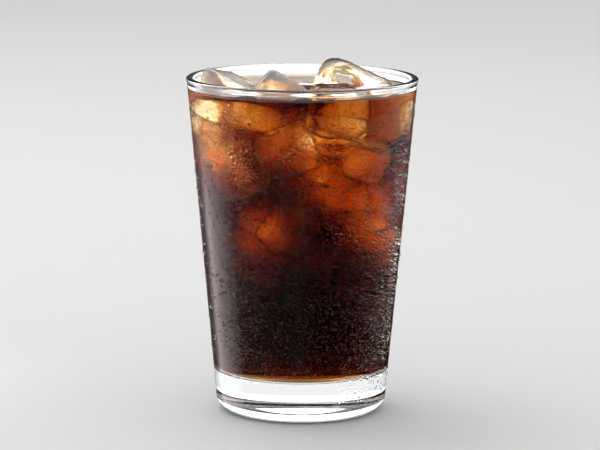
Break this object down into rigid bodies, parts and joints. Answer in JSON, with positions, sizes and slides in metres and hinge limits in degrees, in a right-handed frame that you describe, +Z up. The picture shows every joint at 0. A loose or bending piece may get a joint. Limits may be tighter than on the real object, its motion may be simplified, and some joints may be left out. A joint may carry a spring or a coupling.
{
  "type": "glass of iced coffee",
  "caption": "Tall tapered clear tumbler of iced black coffee, with a thick clear foot, worn ice pieces standing out of the surface and dew on the outside.",
  "frame": {"origin": "centre of the circle that the foot stands on, at table height", "axes": "+Z up along the tumbler's axis; the tallest ice piece stands at +X, and -Y is the side the camera looks from"},
  "size_m": [0.0868, 0.0868, 0.1328],
  "materials": {
    "glass": "clear, polished, dew on the outside",
    "coffee": "clear dark brown liquid, amber where thin",
    "ice": "clear, wet, worn smooth"
  },
  "bodies": {
    "root": {"glass": "glass", "coffee": "coffee", "ice_left": "ice", "ice_mid": "ice", "ice_right": "ice", "ice_front": "ice"}
  },
  "joints": []
}
